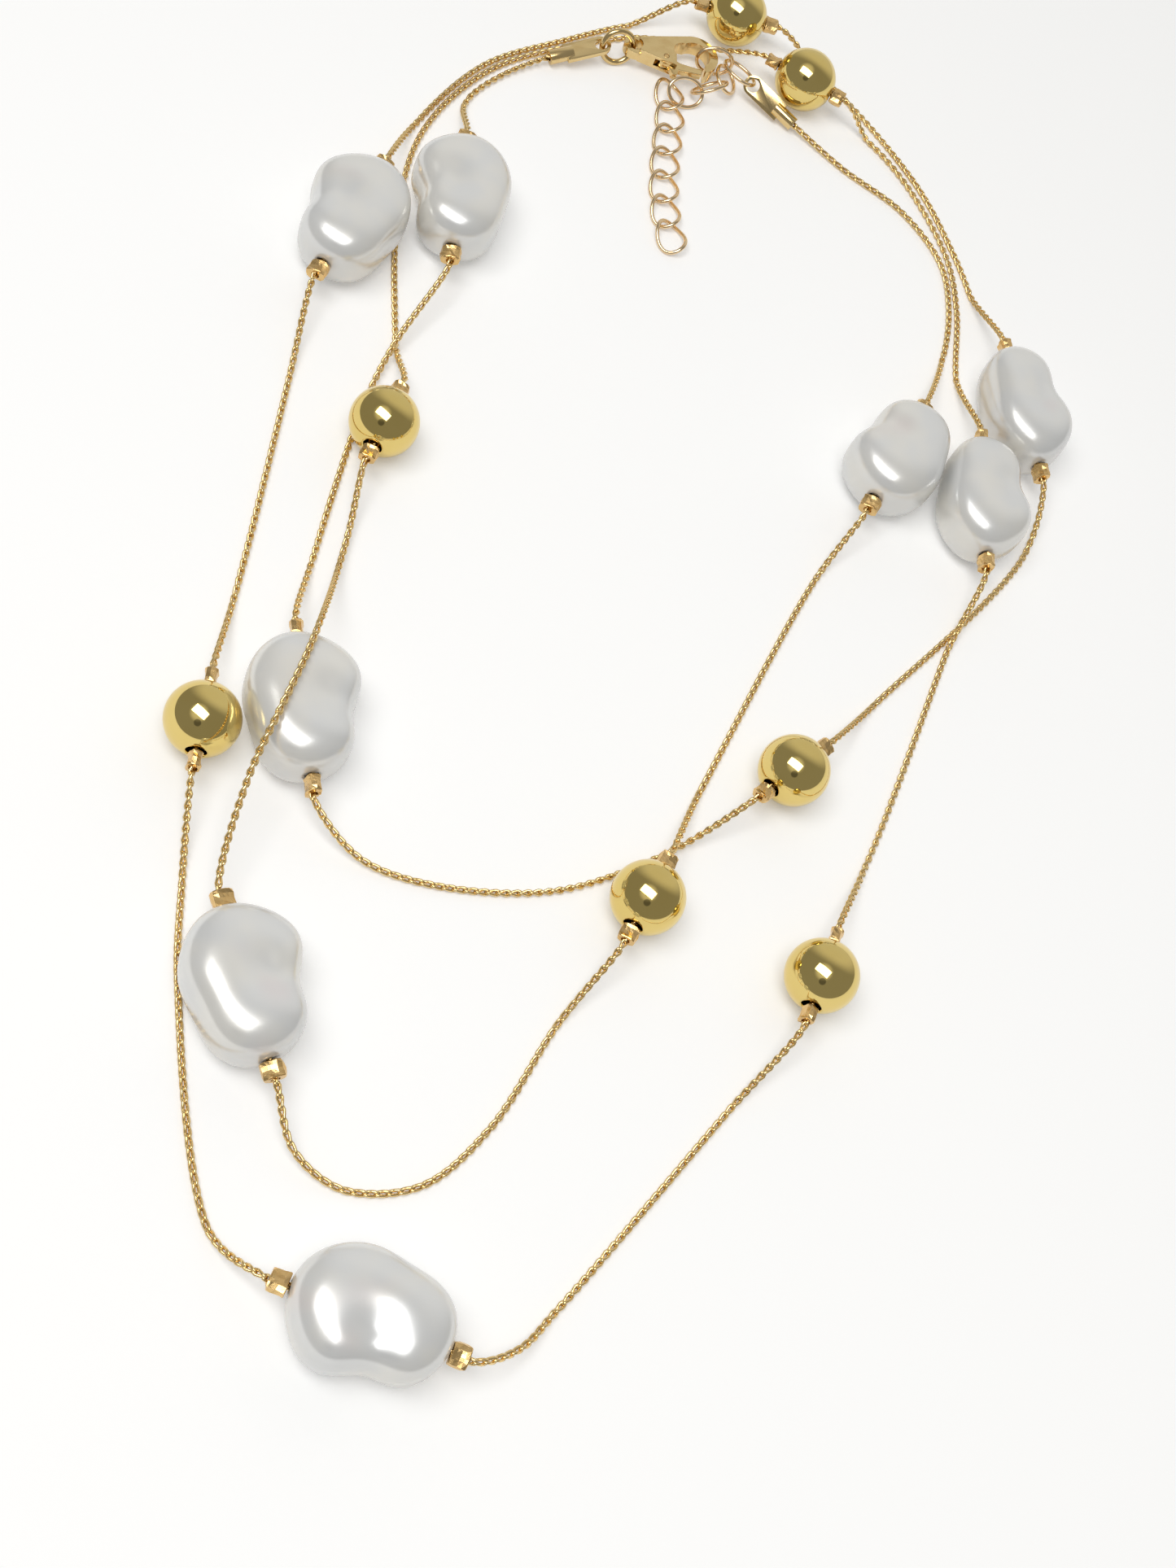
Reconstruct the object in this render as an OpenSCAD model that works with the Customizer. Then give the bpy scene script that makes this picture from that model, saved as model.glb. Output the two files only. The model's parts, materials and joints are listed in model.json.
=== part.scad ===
// Long pearl necklace, laid down in three laps: fine gold chain, eight moulded pearls,
// seven gold balls, crushed crimp tubes, end tags, lobster clasp and extender links.
// Millimetres. X across the layout, Y along it, Z up from the table.

/* [Pearls] */
// Length of a pearl along its bore
pearl_l = 15.8; // [13:0.1:17]
// Width of a pearl across its bore
pearl_w = 12.2; // [10:0.1:12.6]
// Thickness of a pearl, table to top
pearl_t = 8.6; // [7:0.1:9.4]
// Bore through a pearl
pearl_bore_d = 1.6; // [1.2:0.05:2]
// Depth of the hollow in each face of a pearl
pearl_hollow = 0.8; // [0:0.05:1]

/* [Balls] */
// Diameter of a ball
ball_d = 8; // [6.5:0.1:8.4]
// Bore through a ball
ball_bore_d = 2.2; // [1.4:0.05:2.6]

/* [Chain] */
// Thickness of the chain
chain_d = 0.8; // [0.6:0.05:1]
// Free air round the chain inside a crimp or a tag
chain_clear = 0.05; // [0.02:0.01:0.1]
// Air where one strand lies over another strand or over a pearl
strand_gap = 0.6; // [0.3:0.05:0.8]

/* [Crimps] */
// Length of a crimp tube along the chain
crimp_l = 2.1; // [1.5:0.1:2.6]
// Width of the crushed tube
crimp_w = 2.8; // [2.4:0.1:3.2]
// Thickness of the crushed tube
crimp_t = 1.6; // [1.4:0.05:1.9]
// Air between a crimp and the bead it stops
crimp_seat = 0.15; // [0.1:0.01:0.3]

/* [End tags] */
// Length from the mouth of the barrel to the hole
tag_l = 7.2; // [6.6:0.1:8]
// Width of the flat plate
tag_w = 2.6; // [2.4:0.1:3.2]
// Thickness of the flat plate
tag_t = 0.6; // [0.5:0.05:0.7]
// Length of the barrel that grips the chain
tag_barrel_l = 3.2; // [2.6:0.1:4]
// Diameter of the barrel
tag_barrel_d = 1.8; // [1.6:0.05:2.2]
// Hole in the plate
tag_hole_d = 1.7; // [1.6:0.05:1.8]

/* [Jump ring] */
// Outer diameter of the jump ring
ring_d = 5; // [4.8:0.1:5.4]
// Wire of the jump ring
ring_wire = 0.8; // [0.7:0.02:0.84]

/* [Clasp] */
// Thickness of the clasp body
clasp_t = 2; // [1.8:0.05:2.1]
// Outer radius of the round claw end
claw_r = 3.1; // [3:0.05:3.15]
// Radius of the space inside the claw
claw_space_r = 2; // [1.95:0.05:2.1]
// Hole in the eye of the clasp
eye_hole_d = 1.8; // [1.7:0.05:1.9]
// Thickness of the lever
lever_t = 0.9; // [0.7:0.05:0.95]
// Diameter of the hinge pin
pin_d = 0.7; // [0.6:0.02:0.8]
// Air round the hinge pin in the lever
pin_clear = 0.03; // [0.02:0.01:0.05]

/* [Extender] */
// Outer length of a link
link_l = 5.3; // [5.2:0.05:5.5]
// Outer width of a link
link_w = 4.1; // [4:0.05:4.3]
// Wire of a link
link_wire = 0.6; // [0.5:0.02:0.64]
// Air between the wires of two links
link_slack = 0.15; // [0.1:0.01:0.2]

/* [Hidden] */
$fn = 48;

gold = [0.86, 0.72, 0.42];
dull_gold = [0.74, 0.6, 0.34];
rose_gold = [0.84, 0.62, 0.45];
pearl_white = [0.93, 0.92, 0.9];

// Middle of the layout: this point of the table becomes the origin
layout_mid = [7.28, 15.06];

// Where the beads lie on the table and which way the chain runs through them.
// Each: x, y, heading, side of the pearl's waist (1 left of the heading, -1 right), crimp turn,
// and how much longer and wider a pearl is than the usual one
pearl_1_at = [38.4, 33.1, -121, -1, 15, -0.6, -0.7];
ball_1_at = [2.5, -26, -120, 0, 10];
pearl_2_at = [-38.8, -37.4, 106, -1, 10, 0, 0];
ball_2_at = [-24.1, 29.8, 68, 0, 5];
pearl_3_at = [49.1, 28.2, -97, 1, 80, 0.1, -1.4];
ball_4_at = [21, -33.8, -115, 0, 75];
pearl_4_at = [-27.5, -69.2, 158, 1, 10, 0, 0];
ball_5_at = [-43.5, -9.1, 81, 0, 80];
pearl_5_at = [-27.5, 57.9, 65, 1, 10, 0.7, -0.1];
ball_6_at = [24.6, 101.3, -10, 0, 15];
pearl_6_at = [56.7, 42.4, -84.5, 1, 80, 0.7, -1.8];
ball_7_at = [20.5, -10, -142, 0, 20];
pearl_7_at = [-33.2, -7, 95, -1, 80, 0, 0];
pearl_8_at = [-14.5, 63.3, 82, 1, 10, 0.3, -0.3];

// Heights of the chain's centre line
low = chain_d / 2;
over = low + chain_d + strand_gap;
ridge = pearl_t + chain_d / 2 + strand_gap / 2;

// Points of each free stretch of the chain, in the order of the run: x, y, height
run_1 = [[39, 80.7, low], [46.5, 75, low], [50.8, 67.5, low], [51, 60, low], [48.8, 51.5, low]];
run_2 = [[27.5, 17, low], [10.8, -11.5, low]];
run_3 = [[-7, -39, low], [-14.5, -50, low], [-21.5, -55.8, low], [-29, -56.3, low], [-34, -53, 2]];
run_4 = [[-39.3, -17, 7.4], [-36.5, -10.2, ridge], [-33.9, -3.9, ridge], [-32, 1.6, 8.2],
    [-29.2, 11, 2], [-27.7, 17, 1.4]];
run_5 = [[-21.8, 43.5, low], [-21, 63.5, low], [-17.5, 76.5, low], [-8.7, 88, low],
    [2.5, 94.5, low], [12, 98, low], [20, 98, low]];
run_6 = [[43, 86.5, low], [47.7, 80, low], [51.9, 68.5, low], [52.1, 60, low], [50.4, 49, low]];
run_7 = [[43.3, 9, low], [29.5, -19, low]];
run_8 = [[10.8, -47.4, low], [-8.5, -67.5, low], [-13, -71.6, 2.2]];
run_9 = [[-41.8, -60, low], [-45, -36, low], [-44.8, -25, low]];
run_10 = [[-40, 7.5, low], [-34.2, 36.5, low]];
run_11 = [[-18.5, 77.3, low], [-9.2, 88.9, low], [2, 95.5, low], [10.5, 99.8, low]];
run_12 = [[37.5, 96.6, low], [48.9, 80.7, low], [53, 69.3, low], [54.4, 62.8, low]];
run_13 = [[56, 24, low], [33, 1, low]];
run_14 = [[6, -19.4, low], [-6, -24.2, low], [-18, -24.6, low], [-27, -22.2, 1]];
run_15 = [[-31.8, 12.5, low], [-25.6, 34.5, low], [-22.2, 42.4, over]];
run_16 = [[-12, 82, low], [-7.6, 87.1, low]];

function turned(a) = [cos(a), sin(a)];

// Beads: half their length along the bore and the height of the bore
function is_pearl(bead) = bead[3] != 0;
function bead_end(bead) = is_pearl(bead) ? (pearl_l + bead[5]) / 2 + crimp_seat
    : sqrt(pow(ball_d / 2, 2) - pow(ball_bore_d / 2, 2)) + crimp_seat;
function bead_height(bead) = is_pearl(bead) ? pearl_t / 2 : ball_d / 2;

// A point of the chain that lies along the bore line of a bead
crimp_tail = 0.3;
function on_bore(bead, along) = [bead[0] + along * cos(bead[2]), bead[1] + along * sin(bead[2]),
    bead_height(bead)];
function bead_reach(bead) = bead_end(bead) + crimp_l + crimp_tail;
function through(bead) = [on_bore(bead, -bead_reach(bead)), on_bore(bead, bead_reach(bead))];

// Clasp group, laid out from the hole of the left tag to the hole of the right tag
clasp_z = 2.4;
tag_rise = 10;
tag_left_mouth = [-0.9, 91.1];
tag_left_heading = 19;
tag_left_turn = 0;
tag_mouth_z = clasp_z - tag_l * sin(tag_rise);
tag_left_hole = tag_left_mouth + tag_l * cos(tag_rise) * turned(tag_left_heading);
ring_heading = 8;
ring_turn = 70;
ring_reach = (ring_d - ring_wire) / 2 + (tag_hole_d - ring_wire) / 4;
jump_ring_at = tag_left_hole + ring_reach * turned(ring_heading);
eye_at = tag_left_hole + 2 * ring_reach * turned(ring_heading);
clasp_heading = -3;
claw_x = 8;
link_half = (link_l - link_wire) / 2;
link_side = 0.6;
link_stand_off = 1.4;
link_2_turn = 74;
link_2_x = claw_x + claw_space_r - link_stand_off + link_half;
link_2_at = eye_at + link_2_x * turned(clasp_heading) + link_side * turned(clasp_heading + 90);
link_pitch = link_l - 2 * link_wire - link_slack;
link_1_heading = -48;
link_1_turn = -20;
link_2_end = link_2_at + link_half * turned(clasp_heading);
link_overlap = link_wire + link_slack;
link_1_at = link_2_end + (link_half - link_overlap) * turned(link_1_heading);
tag_right_heading = 142;
tag_right_turn = -45;
tag_right_hole = link_1_at + (link_half + (tag_hole_d - link_wire) / 6) * turned(link_1_heading);
tag_right_mouth = tag_right_hole - tag_l * cos(tag_rise) * turned(tag_right_heading);
// This ball lies against the barrel of the right tag
ball_3_beside = [1.22, 5.38];
ball_3_at = [each tag_right_mouth + ball_3_beside, -28, 0, 20];

// Extender. Three links lie tumbled below the clasp, each placed from the hooked link:
// x and y from its middle, height, heading, turn about its length, tip
tumbled = [[1.75, -1.9, 1.41, -111.5, -34, -14], [-0.85, -4.15, 1.78, -163.5, 41, 17.5],
    [-4.2, -5.5, 1.61, -179, -46, -9]];
// The rest hang in a row: their joints follow from one start, the link pitch and the headings
hang_from_hooked = [-6.25, -3.6];
hang_start = link_2_at + hang_from_hooked;
hang_headings = [-89, -97, -101, -98, -95, -89, -80];
function hang_joint(i) = i == 0 ? hang_start
    : hang_joint(i - 1) + link_pitch * turned(hang_headings[i - 1]);
link_twist = 0.5;
link_z = link_twist + link_wire / 2;

// Depth of the chain inside a tag
tag_grip = tag_barrel_l - 1.2;
chain_in_tag = tag_grip - 0.2;
function tag_point(mouth, heading, along) = [mouth[0] + along * cos(tag_rise) * cos(heading),
    mouth[1] + along * cos(tag_rise) * sin(heading), tag_mouth_z + along * sin(tag_rise)];
tag_tail = 1;
chain_start = [tag_point(tag_right_mouth, tag_right_heading, chain_in_tag),
    tag_point(tag_right_mouth, tag_right_heading, -tag_tail)];
chain_finish = [tag_point(tag_left_mouth, tag_left_heading, -tag_tail),
    tag_point(tag_left_mouth, tag_left_heading, chain_in_tag)];

route = concat(chain_start, run_1, through(pearl_1_at), run_2, through(ball_1_at),
    run_3, through(pearl_2_at), run_4, through(ball_2_at), run_5, through(ball_3_at),
    run_6, through(pearl_3_at), run_7, through(ball_4_at), run_8, through(pearl_4_at),
    run_9, through(ball_5_at), run_10, through(pearl_5_at), run_11, through(ball_6_at),
    run_12, through(pearl_6_at), run_13, through(ball_7_at), run_14, through(pearl_7_at),
    run_15, through(pearl_8_at), run_16, chain_finish);

// A round wire swept along a row of points
wire_sides = 8;
function unit(v) = v / norm(v);
function heading_at(path, i) = unit(path[min(i + 1, len(path) - 1)] - path[max(i - 1, 0)]);
function ring_point(p, dir, r, k) =
    let(side = unit(cross(dir, [0, 0, 1])), up = cross(side, dir), a = 360 * k / wire_sides)
    p + r * cos(a) * side + r * sin(a) * up;
function tube_points(path, r) = [for (i = [0 : len(path) - 1], k = [0 : wire_sides - 1])
    ring_point(path[i], heading_at(path, i), r, k)];
function quad(a, b, c, d) = [[a, b, c], [a, c, d]];
function band(i, j) = [for (k = [0 : wire_sides - 1], face = quad(i * wire_sides + k,
    i * wire_sides + (k + 1) % wire_sides, j * wire_sides + (k + 1) % wire_sides,
    j * wire_sides + k)) face];
function tube_faces(count) = concat(
    [for (i = [0 : count - 2], face = band(i, i + 1)) face],
    [[for (k = [0 : wire_sides - 1]) wire_sides - 1 - k]],
    [[for (k = [0 : wire_sides - 1]) (count - 1) * wire_sides + k]]);

// An oval link in the X-Y plane, twisted so that its neighbours pass through it
link_rings = 24;
function link_curve(a, twist) = [link_half * cos(a), (link_w - link_wire) / 2 * sin(a),
    twist * sin(2 * a)];
function link_dir(a, twist) = unit(link_curve(a + 1, twist) - link_curve(a - 1, twist));
function link_points(twist) = [for (i = [0 : link_rings - 1], k = [0 : wire_sides - 1])
    let(a = 360 * i / link_rings) ring_point(link_curve(a, twist), link_dir(a, twist),
        link_wire / 2, k)];
link_faces = [for (i = [0 : link_rings - 1], face = band(i, (i + 1) % link_rings)) face];

module link(at, z, heading, turn, tip, twist)
    translate([at[0] - layout_mid[0], at[1] - layout_mid[1], z])
        rotate([0, 0, heading])
            rotate([0, tip, 0])
                rotate([turn, 0, 0])
                    polyhedron(link_points(twist), link_faces);

// Pearl: a rounded outline with one waist, boxy in section, hollowed in both faces
outline_cos = [6.95, 0.15, 1.05, -0.25, -0.05, 0.1];
outline_sin = [0, -0.2, 0.1, -0.05, -0.05, -0.05];
rim_power = 3.2;
hollow_at = [-0.6, 1.8];
hollow_r = 3;
pearl_steps = 36;
pearl_rows = 11;
function summed(v, i = 0) = i == len(v) ? 0 : v[i] + summed(v, i + 1);
function outline_r(a) = summed([for (n = [0 : len(outline_cos) - 1])
    outline_cos[n] * cos(n * a) + outline_sin[n] * sin(n * a)]);
outline_at = [for (i = [0 : pearl_steps - 1]) let(a = 360 * i / pearl_steps)
    outline_r(a) * turned(a)];
function reach_along(points, axis) = max([for (p = points) p[axis]])
    - min([for (p = points) p[axis]]);
outline_l = reach_along(outline_at, 0);
outline_w = reach_along(outline_at, 1);
function signed_pow(v, p) = sign(v) * pow(abs(v), p);
function hollow(x, y) = pearl_hollow * exp(-(pow(x - hollow_at[0], 2) + pow(y - hollow_at[1], 2))
    / pow(hollow_r, 2));
function pearl_point(a, tilt) =
    let(r = outline_r(a) * pow(cos(tilt), 2 / rim_power), x = r * cos(a) * pearl_l / outline_l,
        y = r * sin(a) * pearl_w / outline_w, rise = signed_pow(sin(tilt), 2 / rim_power))
    [x, y, rise * (pearl_t / 2 - hollow(x, y))];
plain_points = concat(
    [for (j = [1 : pearl_rows], i = [0 : pearl_steps - 1])
        pearl_point(360 * i / pearl_steps, 180 * j / (pearl_rows + 1) - 90)],
    [pearl_point(0, -90), pearl_point(0, 90)]);
pearl_top = max([for (p = plain_points) p[2]]);
pearl_points = [for (p = plain_points) [p[0], p[1], p[2] * pearl_t / 2 / pearl_top]];
function pearl_index(j, i) = j * pearl_steps + i % pearl_steps;
pearl_faces = concat(
    [for (j = [0 : pearl_rows - 2], i = [0 : pearl_steps - 1],
        face = quad(pearl_index(j, i), pearl_index(j + 1, i), pearl_index(j + 1, i + 1),
            pearl_index(j, i + 1))) face],
    [for (i = [0 : pearl_steps - 1])
        [pearl_rows * pearl_steps, pearl_index(0, i), pearl_index(0, i + 1)]],
    [for (i = [0 : pearl_steps - 1])
        [pearl_rows * pearl_steps + 1, pearl_index(pearl_rows - 1, i + 1),
            pearl_index(pearl_rows - 1, i)]]);

module at_bead(bead)
    translate([bead[0] - layout_mid[0], bead[1] - layout_mid[1], bead_height(bead)])
        rotate([0, 0, bead[2]])
            children();

module pearl(bead)
    at_bead(bead)
        difference() {
            scale([1 + bead[5] / pearl_l, 1 + bead[6] / pearl_w, 1])
                mirror([0, bead[3] < 0 ? 1 : 0, 0])
                    polyhedron(pearl_points, pearl_faces);
            rotate([0, 90, 0])
                cylinder(d = pearl_bore_d, h = 2 * pearl_l, center = true);
        }

module ball(bead)
    at_bead(bead)
        rotate([0, 90, 0])
            rotate_extrude()
                intersection() {
                    circle(d = ball_d);
                    translate([ball_bore_d / 2, -ball_d])
                        square(2 * ball_d);
                }

// Crushed tube on the chain: a flat oval with the chain's hole through it
module crimp()
    rotate([0, 90, 0])
        linear_extrude(crimp_l, center = true)
            difference() {
                union() {
                    square([crimp_t, crimp_w - crimp_t], center = true);
                    for (side = [-1, 1])
                        translate([0, side * (crimp_w - crimp_t) / 2])
                            circle(d = crimp_t);
                }
                circle(d = chain_d + 2 * chain_clear);
            }

module crimps(bead)
    at_bead(bead)
        for (side = [-1, 1])
            translate([side * (bead_end(bead) + crimp_l / 2), 0, 0])
                rotate([side * bead[4], 0, 0])
                    crimp();

// End tag: a barrel closed on the chain and a flat plate with a round hole
tag_lap = 1;
module end_tag()
    difference() {
        union() {
            rotate([0, 90, 0])
                cylinder(d = tag_barrel_d, h = tag_barrel_l);
            linear_extrude(tag_t, center = true) {
                translate([tag_barrel_l - tag_lap, -tag_w / 2])
                    square([tag_l - tag_barrel_l + tag_lap, tag_w]);
                translate([tag_l, 0])
                    circle(d = tag_w);
            }
        }
        translate([-1, 0, 0])
            rotate([0, 90, 0])
                cylinder(d = chain_d + 2 * chain_clear, h = tag_grip + 1);
        translate([tag_l, 0, 0])
            cylinder(d = tag_hole_d, h = 3 * tag_t, center = true);
    }

module place_tag(mouth, heading, turn)
    translate([mouth[0] - layout_mid[0], mouth[1] - layout_mid[1], tag_mouth_z])
        rotate([0, 0, heading])
            rotate([0, -tag_rise, 0])
                rotate([turn, 0, 0])
                    end_tag();

module ring_of_wire(outer, wire)
    rotate_extrude()
        translate([(outer - wire) / 2, 0])
            circle(d = wire);

// Clasp, drawn flat from its eye at the origin to the claw end
eye_r = 1.5;
eye_t = 1.2;
neck_back = 1.1;
neck = [[0.5, 1.2], [claw_x - neck_back, sqrt(pow(claw_r, 2) - pow(neck_back, 2))]];
pocket_r = 1.4;
pocket_at = [6.5, 0.2];
mouth_x = [5.4, 9.3];
mouth_top = -0.7;
lever_gap = 0.1;
lever_room = lever_t + 2 * lever_gap;
hinge_at = [4, -1.3];
room_x = [2.6, 6];
room_top = 0.45;
lever_outline = [[3.3, -0.95], [3.6, -0.6], [4.5, -0.65], [6, -1.5], [9.1, -1.9], [8.85, -2.8],
    [5.8, -2.7], [5.5, -3.65], [4.9, -3.65], [4.5, -2.05], [3.6, -2.05], [3.3, -1.7]];
spring_at = [2.8, 0.22];
spring_size = [2, 0.15, 0.8];

module place_clasp()
    translate([eye_at[0] - layout_mid[0], eye_at[1] - layout_mid[1], clasp_z])
        rotate([0, 0, clasp_heading])
            children();

module clasp_outline() {
    polygon([neck[0], neck[1], [neck[1][0], -neck[1][1]], [neck[0][0], -neck[0][1]]]);
    translate([claw_x, 0])
        circle(r = claw_r);
}

module claw_space() {
    translate([claw_x, 0])
        circle(r = claw_space_r);
    translate(pocket_at)
        circle(r = pocket_r);
    translate([mouth_x[0], -2 * claw_r])
        square([mouth_x[1] - mouth_x[0], 2 * claw_r + mouth_top]);
}

module clasp_shell()
    difference() {
        union() {
            linear_extrude(clasp_t, center = true)
                difference() {
                    clasp_outline();
                    claw_space();
                }
            cylinder(r = eye_r, h = eye_t, center = true);
        }
        cylinder(d = eye_hole_d, h = 2 * clasp_t, center = true);
        translate([room_x[0], -2 * claw_r, -lever_room / 2])
            cube([room_x[1] - room_x[0], 2 * claw_r + room_top, lever_room]);
        translate([hinge_at[0], hinge_at[1], 0])
            cylinder(d = pin_d + 2 * pin_clear, h = 2 * clasp_t, center = true);
    }

module chain()
    color(gold)
        translate([-layout_mid[0], -layout_mid[1], 0])
            polyhedron(tube_points(route, chain_d / 2), tube_faces(len(route)));

module pearl_1() color(pearl_white) pearl(pearl_1_at);
module pearl_2() color(pearl_white) pearl(pearl_2_at);
module pearl_3() color(pearl_white) pearl(pearl_3_at);
module pearl_4() color(pearl_white) pearl(pearl_4_at);
module pearl_5() color(pearl_white) pearl(pearl_5_at);
module pearl_6() color(pearl_white) pearl(pearl_6_at);
module pearl_7() color(pearl_white) pearl(pearl_7_at);
module pearl_8() color(pearl_white) pearl(pearl_8_at);

module ball_1() color(gold) ball(ball_1_at);
module ball_2() color(gold) ball(ball_2_at);
module ball_3() color(gold) ball(ball_3_at);
module ball_4() color(gold) ball(ball_4_at);
module ball_5() color(gold) ball(ball_5_at);
module ball_6() color(gold) ball(ball_6_at);
module ball_7() color(gold) ball(ball_7_at);

module crimps_pearl_1() color(dull_gold) crimps(pearl_1_at);
module crimps_pearl_2() color(dull_gold) crimps(pearl_2_at);
module crimps_pearl_3() color(dull_gold) crimps(pearl_3_at);
module crimps_pearl_4() color(dull_gold) crimps(pearl_4_at);
module crimps_pearl_5() color(dull_gold) crimps(pearl_5_at);
module crimps_pearl_6() color(dull_gold) crimps(pearl_6_at);
module crimps_pearl_7() color(dull_gold) crimps(pearl_7_at);
module crimps_pearl_8() color(dull_gold) crimps(pearl_8_at);
module crimps_ball_1() color(dull_gold) crimps(ball_1_at);
module crimps_ball_2() color(dull_gold) crimps(ball_2_at);
module crimps_ball_3() color(dull_gold) crimps(ball_3_at);
module crimps_ball_4() color(dull_gold) crimps(ball_4_at);
module crimps_ball_5() color(dull_gold) crimps(ball_5_at);
module crimps_ball_6() color(dull_gold) crimps(ball_6_at);
module crimps_ball_7() color(dull_gold) crimps(ball_7_at);

module tag_left() color(gold) place_tag(tag_left_mouth, tag_left_heading, tag_left_turn);
module tag_right() color(gold) place_tag(tag_right_mouth, tag_right_heading, tag_right_turn);

module jump_ring()
    color(gold)
        translate([jump_ring_at[0] - layout_mid[0], jump_ring_at[1] - layout_mid[1], clasp_z])
            rotate([0, 0, ring_heading])
                rotate([ring_turn, 0, 0])
                    ring_of_wire(ring_d, ring_wire);

module clasp_body() color(gold) place_clasp() clasp_shell();

module clasp_lever()
    color(gold)
        place_clasp()
            linear_extrude(lever_t, center = true)
                difference() {
                    polygon(lever_outline);
                    translate(hinge_at)
                        circle(d = pin_d + 2 * pin_clear);
                }

module clasp_pin()
    color(dull_gold)
        place_clasp()
            translate([hinge_at[0], hinge_at[1], 0])
                cylinder(d = pin_d, h = clasp_t, center = true);

module clasp_spring()
    color(dull_gold)
        place_clasp()
            translate([spring_at[0], spring_at[1], -spring_size[2] / 2])
                cube(spring_size);

module link_1() color(rose_gold) link(link_1_at, clasp_z, link_1_heading, link_1_turn, 0, 0);
module link_2() color(rose_gold) link(link_2_at, clasp_z, clasp_heading, link_2_turn, 0, 0);
module tumbled_link(i)
    color(rose_gold)
        link(link_2_at + [tumbled[i][0], tumbled[i][1]], tumbled[i][2], tumbled[i][3], tumbled[i][4],
            tumbled[i][5], 0);
module hang_link(i)
    color(rose_gold)
        link((hang_joint(i) + hang_joint(i + 1)) / 2, link_z, hang_headings[i], 0, 0, link_twist);
module link_3() tumbled_link(0);
module link_4() tumbled_link(1);
module link_5() tumbled_link(2);
module link_6() hang_link(0);
module link_7() hang_link(1);
module link_8() hang_link(2);
module link_9() hang_link(3);
module link_10() hang_link(4);
module link_11() hang_link(5);
module link_12() hang_link(6);

chain();
pearl_1();
pearl_2();
pearl_3();
pearl_4();
pearl_5();
pearl_6();
pearl_7();
pearl_8();
ball_1();
ball_2();
ball_3();
ball_4();
ball_5();
ball_6();
ball_7();
crimps_pearl_1();
crimps_pearl_2();
crimps_pearl_3();
crimps_pearl_4();
crimps_pearl_5();
crimps_pearl_6();
crimps_pearl_7();
crimps_pearl_8();
crimps_ball_1();
crimps_ball_2();
crimps_ball_3();
crimps_ball_4();
crimps_ball_5();
crimps_ball_6();
crimps_ball_7();
tag_left();
tag_right();
jump_ring();
clasp_body();
clasp_lever();
clasp_pin();
clasp_spring();
link_1();
link_2();
link_3();
link_4();
link_5();
link_6();
link_7();
link_8();
link_9();
link_10();
link_11();
link_12();
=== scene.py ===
# %% [markdown]
# # A long pearl necklace, laid down in three laps
#
# The necklace is one fine gold chain with eight moulded pearls and seven gold balls on it,
# each stopped by two crushed crimp tubes, and it closes with a lobster clasp and an extender.
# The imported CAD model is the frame: it says where every piece lies and which body it moves
# with. This lesson dresses that frame, piece by piece, until it looks like the real thing.

# %% Load the frame
import json
import math

import bmesh
import bpy
from mathutils import Matrix, Vector, noise

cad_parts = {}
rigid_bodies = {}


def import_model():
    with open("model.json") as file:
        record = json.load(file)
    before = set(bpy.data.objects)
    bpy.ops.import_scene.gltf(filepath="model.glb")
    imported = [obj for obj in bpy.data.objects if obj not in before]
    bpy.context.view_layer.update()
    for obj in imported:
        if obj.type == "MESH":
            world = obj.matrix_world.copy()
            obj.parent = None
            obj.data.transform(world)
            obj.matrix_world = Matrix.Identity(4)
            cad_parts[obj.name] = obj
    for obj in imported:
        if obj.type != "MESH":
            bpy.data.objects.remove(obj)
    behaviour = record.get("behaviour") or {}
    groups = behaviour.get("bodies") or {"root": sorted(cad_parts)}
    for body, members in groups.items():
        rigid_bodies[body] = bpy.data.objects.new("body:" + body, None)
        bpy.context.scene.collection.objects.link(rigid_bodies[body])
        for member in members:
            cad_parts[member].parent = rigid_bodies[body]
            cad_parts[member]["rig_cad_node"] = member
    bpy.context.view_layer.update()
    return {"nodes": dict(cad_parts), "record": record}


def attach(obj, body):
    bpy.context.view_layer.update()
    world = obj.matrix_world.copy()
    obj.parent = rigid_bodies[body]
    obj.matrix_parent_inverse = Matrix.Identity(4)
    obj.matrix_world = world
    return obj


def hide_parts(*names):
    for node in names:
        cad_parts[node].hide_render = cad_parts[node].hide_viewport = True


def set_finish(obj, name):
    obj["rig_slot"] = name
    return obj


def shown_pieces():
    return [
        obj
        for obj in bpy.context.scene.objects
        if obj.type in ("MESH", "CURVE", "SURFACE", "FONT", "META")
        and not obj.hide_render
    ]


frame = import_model()
MM = 0.001

# %% [markdown]
# ## Camera
#
# The picture was taken by hand, leaning over the table, with the camera rolled to one side.
# A camera could be aimed with a constraint, but a roll is easier to give as three directions:
# the picture's right, its up and the way back to the eye are the columns of a rotation.

# %% Camera
EYE = Vector((-72.3, -123.69, 195.85)) * MM
PICTURE_RIGHT = Vector((0.9585, -0.0609, 0.2787)).normalized()
PICTURE_UP = Vector((-0.0666, 0.9021, 0.4263))
PICTURE_UP = (PICTURE_UP - PICTURE_UP.dot(PICTURE_RIGHT) * PICTURE_RIGHT).normalized()
TO_EYE = PICTURE_RIGHT.cross(PICTURE_UP)
SENSOR_MM = 36
FOCAL_PX, PICTURE_LONG_SIDE_PX = 2600, 1927
LENS_MM = FOCAL_PX / PICTURE_LONG_SIDE_PX * SENSOR_MM
NEAREST_SEEN = 5 * MM

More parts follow.
